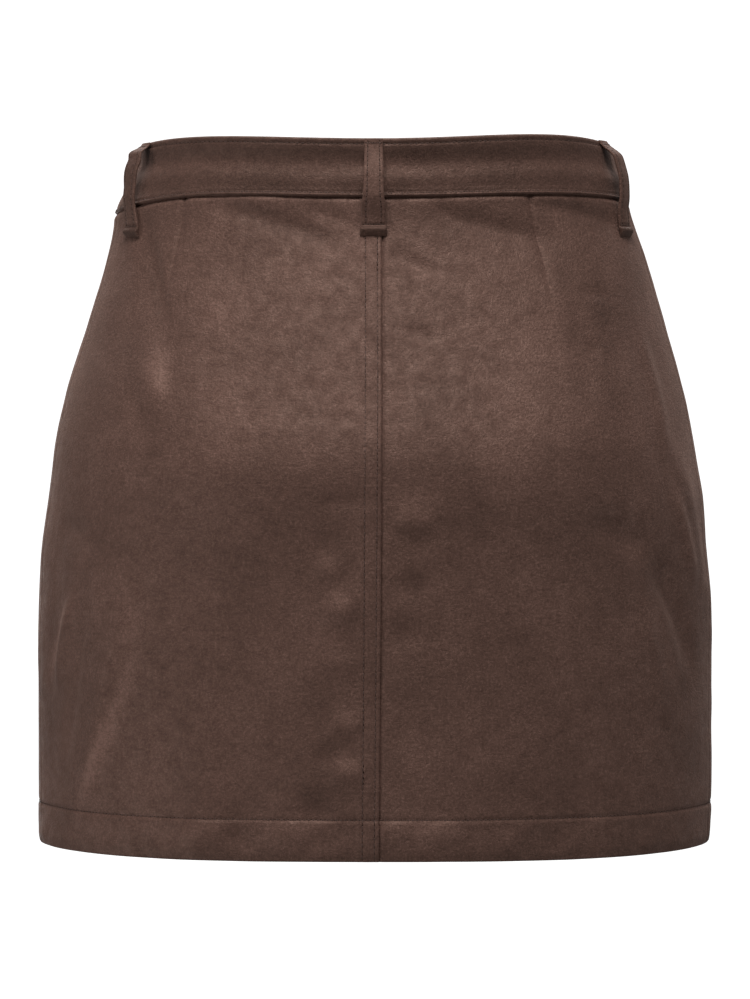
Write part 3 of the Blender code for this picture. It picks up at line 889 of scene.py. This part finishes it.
def make_band(node, first_turn, last_turn, step=False, round_ends=(False, False)):
    span = (last_turn - first_turn) * BAND_GRID_GIRTH
    across = graded(span, [(0, 1.5), (span, 1.5)], 0.35, 1.7)
    turn = first_turn + (last_turn - first_turn) * across / span
    deep = BAND_GRID_DEPTH
    drop = graded(deep, [(0, 4.2), (deep, 4)], 0.32, 1.1, 5.0)
    near_edge = np.array([0.05, 0.15, 0.9])
    drop = merged(drop, [*near_edge, *(deep - near_edge)])
    top, bottom = edge_height(BAND_TOP, turn), edge_height(WAIST_SEAM, turn) + 0.1
    height = top + (bottom - top) * drop[:, None] / deep
    below, above = top - height, height - bottom
    round_off = np.maximum(rounding(below, BAND_ROUND), rounding(above, BAND_ROUND))
    for end, wanted in zip((across, span - across), round_ends):
        if wanted:
            round_off = np.maximum(round_off, rounding(end, BAND_ROUND))
    outer, normal = lifted(turn, height, band_lift(turn, height, step) - round_off)
    inner = outer - (BAND_CLOTH - 2 * round_off)[..., None] * normal
    uv = np.stack(np.broadcast_arrays(arc(turn, height), height + BAND_WEAVE_SHIFT), axis=-1)
    # painted shade: the band is darker all over, and darker still in a strip below its top, a fainter
    # strip lower down and along its foot
    nap_and_painted_light = -0.08 - 0.12 * bell(below, 6, 5) - 0.05 * bell(below, 22, 3.5)
    nap_and_painted_light -= 0.08 * (1 - ease(above, 1, 9))
    return shell(node, outer, inner, uv, nap_and_painted_light)


# Belt loops

LOOP_HALF = 0.5 * LOOP_WIDTH


def loop_place(loop, drop, across, extra=0.0):
    """Places on a belt loop's outer face, at mm down it and mm across from its middle."""
    drop, across = np.broadcast_arrays(drop, across)
    top = float(edge_height(BAND_TOP, loop.top_turn))
    leaves = ease(drop, 0.0, loop.clear_from)
    returns = 1.0 - ease(drop, loop.clear_to, loop.seated_from)
    roll = loop.roll * across / LOOP_HALF
    standoff = LOOP_SEAT + (loop.clear - LOOP_SEAT + roll) * leaves * returns
    lean = loop.top_turn + (loop.foot_turn - loop.top_turn) * drop / LOOP_DROP
    per_turn = 1.0 / turn_length(loop.foot_turn, top - 0.5 * LOOP_DROP)
    end = LOOP_DROP - drop
    fall = 2.5 * (1 - ease(end, -0.4, 2.9))
    cloth = LOOP_CLOTH + 1.3 * (1 - ease(end, 3.7, LOOP_END_FOLD)) - fall
    wide = 1.0 + loop.flare * (1 - ease(end, 4.0, 6.0)) + loop.spread * ease(drop, 29, 40)
    crown = 0.22 * (1 - (across / LOOP_HALF) ** 2)
    rows = -0.16 * bell(np.abs(across), LOOP_HALF - LOOP_ROW_INSET, 0.6) * ease(end, 5, 7)
    bar = -0.35 * bell(end, LOOP_BAR_ABOVE_END, 0.7)
    rough = 0.12 * wander(across + 40 * abs(loop.top_turn), drop, 7, 41)
    lift = standoff + cloth + crown + rows + bar + rough + extra
    place, normal = lifted(lean + across * wide * per_turn, top - drop, lift)
    return place, normal, cloth


def make_loop(loop):
    across = np.array([-1, -0.985, -0.95, -0.9, -0.82, -0.74, -0.66, -0.58, -0.5, -0.33, -0.16, 0.0])
    across = LOOP_HALF * np.concatenate([across, -across[-2::-1]])
    drop = graded(LOOP_DROP, [(0, 1), (LOOP_DROP - 3, 5)], 0.35, 1.0, 5.0)
    drop = merged(drop, LOOP_DROP - np.array([0.03, 0.12]))[:, None]
    round_off = rounding(LOOP_HALF - np.abs(across), 0.8)
    round_off = np.maximum(round_off, rounding(LOOP_DROP - drop, 1.3))
    round_off = np.maximum(round_off, rounding(drop, 0.8))
    outer, normal, cloth = loop_place(loop, drop, across, -round_off)
    inner = outer - (cloth - 2 * np.minimum(round_off, 0.49 * cloth))[..., None] * normal
    uv = np.stack(np.broadcast_arrays(across + LOOP_WEAVE_SHIFT * loop.top_turn, drop), axis=-1)
    # painted shade darkens the loop's folded end; the loop's tone is added as given
    nap_and_painted_light = loop.tone - 0.22 * (1 - ease(LOOP_DROP - drop, 4, 8))
    return shell(loop.name, outer, inner, uv, nap_and_painted_light)


# Stitches

STITCH_END = (STITCH_RINGS - 1) * STITCH_SIDES
STITCH_FACES = []
for ring in range(0, STITCH_END, STITCH_SIDES):
    for c in range(STITCH_SIDES):
        a, b = ring + c, ring + (c + 1) % STITCH_SIDES
        STITCH_FACES.append((a, b, b + STITCH_SIDES, a + STITCH_SIDES))
STITCH_FACES.append(tuple(range(STITCH_SIDES - 1, -1, -1)))
STITCH_FACES.append(tuple(range(STITCH_END, STITCH_END + STITCH_SIDES)))
HOLE_FACES = [tuple(range(STITCH_SIDES))]
HOLE_FACES += [((c + 1) % STITCH_SIDES, c, STITCH_SIDES) for c in range(STITCH_SIDES)]


def unit(vectors):
    return vectors / (np.linalg.norm(vectors, axis=-1, keepdims=True) + 1e-9)


def read_line(values, length, at):
    """Values along a line, read at distances from its start."""
    return np.stack([np.interp(at, length, values[:, k]) for k in range(3)], axis=-1)


def heading(places, length, at):
    return unit(read_line(places, length, at + 0.4) - read_line(places, length, at - 0.4))


def circles(centre, one_way, other_way, radius):
    """Points of a stitch's section or a needle hole, round each centre."""
    turns = (np.arange(STITCH_SIDES) * math.tau / STITCH_SIDES)[:, None]
    radius = np.asarray(radius)[..., None, None]
    circle = centre[..., None, :] + one_way[..., None, :] * (radius * np.cos(turns))
    return circle + other_way[..., None, :] * (radius * np.sin(turns))


def stitch_mesh(name, rows, hole=HOLE_RADIUS):
    """Joined mesh of stitches, with dark discs of painted shade at the needle holes between
    them. Each row is (places, normals) along a line, pitch, and the share of the pitch that
    the thread shows."""
    groups = []
    for places, normals, pitch, share in rows:
        steps = np.linalg.norm(np.diff(places, axis=0), axis=1)
        length = np.concatenate([[0], np.cumsum(steps)])
        number = max(1, int(round(length[-1] / pitch)))
        starts = (np.arange(number) + 0.5 * (1 - share)) * length[-1] / number
        along = np.linspace(0, 1, STITCH_RINGS)
        at = starts[:, None] + share * length[-1] / number * along
        normal = read_line(normals, length, at)
        arch = np.sin(np.pi * along)
        rise = STITCH_THICK * 0.5 * arch - STITCH_SINK * (1 - arch)
        centre = read_line(places, length, at) + normal * rise[:, None]
        radius = STITCH_THICK * 0.5 * (0.62 + 0.38 * arch)
        side = unit(np.cross(normal, heading(places, length, at)))
        ring = circles(centre, side, normal, radius)
        groups.append((ring.reshape(number, -1, 3), STITCH_FACES, 0))

        # a dark disc of painted shade at each needle hole
        at = np.arange(number + 1) * length[-1] / number
        spot, normal = read_line(places, length, at), read_line(normals, length, at)
        way = heading(places, length, at)
        disc = circles(spot, way, np.cross(normal, way), hole) + normal[:, None, :] * HOLE_LIFT
        tip = spot - normal * HOLE_DEPTH
        groups.append((np.concatenate([disc, tip[:, None, :]], axis=1), HOLE_FACES, 1))

    faces, marks, count = [], [], 0
    for points, one_faces, mark in groups:
        number, size = points.shape[:2]
        for base in range(count, count + number * size, size):
            faces += [tuple(base + index for index in face) for face in one_faces]
        marks += [mark] * (number * len(one_faces))
        count += number * size
    verts = np.concatenate([points.reshape(-1, 3) for points, _, _ in groups]) / METRE
    mesh = bpy.data.meshes.new(name)
    mesh.from_pydata(verts.tolist(), [], faces)
    mesh.materials.append(THREAD)
    mesh.materials.append(HOLE_SHADE)
    mesh.polygons.foreach_set("material_index", np.array(marks, np.int32))
    mesh.update()
    mesh.shade_smooth()
    return add_piece(name, mesh)


def on_panel(node, turn, height):
    return lifted(turn, height, panel_lift(PANELS[node], turn, height))


def on_band(turn, height, step=False):
    return lifted(turn, height, band_lift(turn, height, step))


def band_rows(turn):
    """Heights of the band's upper and lower rows of stitches."""
    upper = edge_height(BAND_TOP, turn) - BAND_ROW_BELOW_TOP
    return upper, edge_height(WAIST_SEAM, turn) + BAND_ROW_ABOVE_SEAM


# Button

# From the button's middle to each hole's, along both sides of their square
BUTTON_HOLES = (-1.45, 1.45)
BUTTON_HOLE_RADIUS = 0.75
STRAND_RADIUS = 0.2
STRAND_HALF = 2.05


def button_profile(radius, thick):
    """Half the button's section: flat underside, round edge, raised rim, sunk middle."""
    profile = [(0.0, 0.0), (radius - 1.4, 0.0)]
    for step in range(7):
        a = math.radians(-90 + step * 15)
        profile.append((radius - 0.95 + 0.95 * math.cos(a), 0.95 + 0.95 * math.sin(a)))
    for step in range(9):
        a = math.radians(step * 20)
        profile.append((radius - 1.0 + math.cos(a), thick - 1.0 + math.sin(a)))
    profile += [(radius - 2.3, thick - 0.75), (radius - 3.0, thick - 0.95)]
    return profile + [(radius - 4.2, thick - 0.9), (0.0, thick - 0.8)]


def make_button():
    """A turned four-hole button, with its thread crossed through the holes."""
    shape = turned(button_profile(BUTTON_DIAMETER / 2, BUTTON_THICK), 72)
    bmesh.ops.recalc_face_normals(shape, faces=shape.faces[:])
    mesh = as_mesh(shape, "button_four_hole")
    mesh.shade_smooth()
    mesh.set_sharp_from_angle(angle=math.radians(50))
    mesh.materials.append(BUTTON)

    drill = bmesh.new()
    for x in BUTTON_HOLES:
        for y in BUTTON_HOLES:
            bmesh.ops.create_cone(
                drill, cap_ends=True, segments=20, depth=9.0, radius1=BUTTON_HOLE_RADIUS,
                radius2=BUTTON_HOLE_RADIUS, matrix=Matrix.Translation((x, y, 2.0)),
            )
    button = new_object("button_four_hole", mesh)
    cutter = new_object("button_holes", as_mesh(drill, "button_holes"))
    cut = button.modifiers.new("holes", "BOOLEAN")
    cut.operation = "DIFFERENCE"
    cut.object = cutter
    evaluated = button.evaluated_get(bpy.context.evaluated_depsgraph_get())
    done = bpy.data.meshes.new_from_object(evaluated)
    bpy.data.objects.remove(button)
    bpy.data.objects.remove(cutter)

    spot, normal = lifted(BUTTON_TURN, BUTTON_HEIGHT, BUTTON_SEAT + 0.1)
    facing = Vector(normal).to_track_quat("Z", "Y").to_matrix().to_4x4()
    place = Matrix.Translation(Vector(spot) / METRE) @ facing @ Matrix.Scale(1 / METRE, 4)
    done.transform(place)
    piece = add_piece("button_four_hole", done)
    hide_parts("waist_button")

    strands = bmesh.new()
    for angle in (math.radians(45), math.radians(-45)):
        c, s = math.cos(angle), math.sin(angle)
        side = Vector((-s, c, 0.0))
        for offset in (-0.3, 0.0, 0.3):
            rings = []
            for t in np.linspace(0, 1, 9).tolist():
                along = STRAND_HALF * (2 * t - 1)
                lift = BUTTON_THICK - 0.75 + 0.42 * math.sin(math.pi * t) - 0.9 * (2 * t - 1) ** 6
                lift += 0.28 if angle > 0 else 0.0
                centre = Vector((along * c - offset * s, along * s + offset * c, lift))
                rings.append([])
                for k in range(8):
                    a = k * math.tau / 8
                    out = side * STRAND_RADIUS * math.cos(a)
                    up = Vector((0, 0, STRAND_RADIUS * math.sin(a)))
                    rings[-1].append(strands.verts.new(centre + out + up))
            for near, far in zip(rings, rings[1:]):
                for k in range(8):
                    strands.faces.new((near[k], near[(k + 1) % 8], far[(k + 1) % 8], far[k]))
    bmesh.ops.recalc_face_normals(strands, faces=strands.faces[:])
    cross = as_mesh(strands, "button_thread")
    cross.transform(place)
    cross.shade_smooth()
    cross.materials.append(THREAD)
    add_piece("button_thread", cross)


# The dressed skirt

SIDE = SIDE_SEAM_WAIST
LAP_END = -FRONT_SEAM - LAP_TURN
# Turns of the row of stitches by the lap's end, and between a band's end and its seam
LAP_ROW = LAP_END + 1.2
END_GAP = 0.05

for node in PANELS:
    make_panel(node, 2.0 if node.startswith("back") else 2.5)
for node, *band in (
    ("waistband_back", -SIDE + END_GAP, SIDE - END_GAP),
    ("waistband_front_left", SIDE + END_GAP, FRONT_SEAM + UNDERLAP_TURN, True, (False, True)),
    ("waistband_front_right", LAP_END, -SIDE - END_GAP, False, (True, False)),
):
    make_band(node, *band)
for loop in BELT_LOOPS:
    make_loop(loop)
make_button()

# Rows of stitches
rows = []
for away in TWIN_ROWS:
    height = np.linspace(WAIST_SEAM.back - 1, HEM.back + 1.5, 900)
    turn = back_seam(height) + away / turn_lengths(back_seam(height), height)
    rows.append((*on_panel("back_left", turn, height), *TWIN_STITCH))
stitch_mesh("stitches_centre_back", rows, TWIN_HOLE_RADIUS)

rows = []
for node, panel in PANELS.items():
    first, last = panel.first(HEM.back + HEM_DEPTH), panel.last(HEM.back + HEM_DEPTH)
    turn = first + (last - first) * np.linspace(0.0, 1.0, 800)
    rows.append((*on_panel(node, turn, edge_height(HEM, turn) + HEM_DEPTH), *HEM_STITCH))
stitch_mesh("stitches_hem", rows)

rows = []
for low, high, step in (
    (-SIDE, SIDE, False),
    (SIDE, FRONT_SEAM - LAP_TURN - 0.8, True),
    (LAP_ROW, -SIDE, False),
):
    turn = np.linspace(low, high, 900)
    for height in band_rows(turn):
        rows.append((*on_band(turn, height, step), *BAND_STITCH))
# down the right front's end
rows.append((*on_band(LAP_ROW, np.linspace(*band_rows(LAP_ROW), 80)), *BAND_STITCH))
stitch_mesh("stitches_waistband", rows)

rows = []
for loop in BELT_LOOPS:
    drop = np.linspace(1.5, LOOP_DROP - 7, 200)
    for across in (LOOP_ROW_INSET - LOOP_HALF, LOOP_HALF - LOOP_ROW_INSET):
        rows.append((*loop_place(loop, drop, across)[:2], *LOOP_STITCH))
    across = np.linspace(0.9 - LOOP_HALF, LOOP_HALF - 0.9, 40)
    for drop in (LOOP_DROP - LOOP_BAR_ABOVE_END, 2.6):
        rows.append((*loop_place(loop, drop, across)[:2], *BAR_STITCH))
stitch_mesh("stitches_belt_loops", rows)

# the fly's two rows, curving in to the centre front seam
rows = []
for inset in FLY_INSETS:
    width, length = FLY_WIDTH - inset, FLY_LENGTH - inset
    bend = np.radians(np.linspace(0, 90, 60))
    across = np.concatenate([np.full(200, width), width - FLY_BEND * (1 - np.cos(bend)), [1.0]])
    straight = np.linspace(1, length - FLY_BEND, 200)
    drop = np.concatenate([straight, length - FLY_BEND * (1 - np.sin(bend)), [length]])
    turn = -FRONT_SEAM + across / turn_lengths(-FRONT_SEAM, WAIST_SEAM.front - drop)
    rows.append((*on_panel("front_right", turn, WAIST_SEAM.front - drop), *TWIN_STITCH))
stitch_mesh("stitches_fly", rows, FLY_HOLE_RADIUS)

# Sheets: the cut of what shows, in metres: its widest and longest, and a shaped one's area
Cut = namedtuple("Cut", "wide long held area", defaults=(None,))

# Studio and camera, in metres
FLOOR = -0.62
FLOOR_REACH = 4.4
WALL_CURVE = 1.6
WALL_TOP = 2.2
WHITE = (1.0, 1.0, 1.0, 1.0)
Light = namedtuple("Light", "name place aim size power")
LIGHTS = (
    Light("key_back", (0.05, 0.95, 1.5), (0, 0.1, -0.15), (1.1, 0.6), 37.5),
    Light("key_front", (-0.05, -1.1, 1.6), (0, -0.1, -0.15), (1.6, 0.7), 36),
    Light("fill_left", (2.3, 0.9, -1.6), (0, 0, -0.35), (1.0, 1.6), 29),
    Light("fill_right", (-2.3, 0.9, -1.6), (0, 0, -0.35), (1.0, 1.6), 9.5),
    Light("fill_low", (-0.9, 2.2, -1.5), (-0.05, 0.1, -0.3), (1.2, 0.8), 3.5),
    Light("fill_front", (0.4, -2.6, -0.5), (0, 0, -0.25), (1.6, 1.2), 12),
)


def studio():
    """A pale floor that curves up into a round wall, well clear of the skirt."""
    profile = [(0.0, FLOOR), (FLOOR_REACH, FLOOR)]
    for step in range(1, 11):
        a = math.radians(step * 9)
        up = WALL_CURVE - WALL_CURVE * math.cos(a)
        profile.append((FLOOR_REACH + WALL_CURVE * math.sin(a), up + FLOOR))
    profile.append((FLOOR_REACH + WALL_CURVE, WALL_TOP + FLOOR))
    mesh = as_mesh(turned(profile, 64), "studio_room")
    mesh.shade_smooth()
    material, _, shader = material_nodes("studio_paper")
    set_inputs(shader, {
        "Base Color": (0.86, 0.86, 0.86, 1.0), "Roughness": 0.95,
        "Emission Color": WHITE, "Emission Strength": 0.95,
    })
    mesh.materials.append(material)
    obj = new_object("studio_room", mesh)
    obj.visible_diffuse = obj.visible_glossy = obj.visible_shadow = False
    obj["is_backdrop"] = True


studio()
world = bpy.data.worlds.new("studio")
world.use_nodes = True
set_inputs(world.node_tree.nodes["Background"], {"Color": WHITE, "Strength": 0.19})
bpy.context.scene.world = world
bpy.context.scene.view_settings.view_transform = "Standard"
for lamp in LIGHTS:
    light = bpy.data.lights.new(lamp.name, "AREA")
    light.shape = "RECTANGLE"
    light.size, light.size_y = lamp.size
    light.energy = lamp.power
    obj = new_object(lamp.name, light)
    obj.location = lamp.place
    obj.rotation_euler = (Vector(lamp.aim) - Vector(lamp.place)).to_track_quat("-Z", "Y").to_euler()

camera_data = bpy.data.cameras.new("camera")
camera_data.sensor_width = 36.0
camera_data.lens = 195.06
camera = new_object("camera", camera_data)
camera.location = (0.0, 3.07, -0.1836)
camera.rotation_euler = (math.radians(90), 0.0, math.radians(180))
bpy.context.scene.camera = camera

low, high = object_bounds()
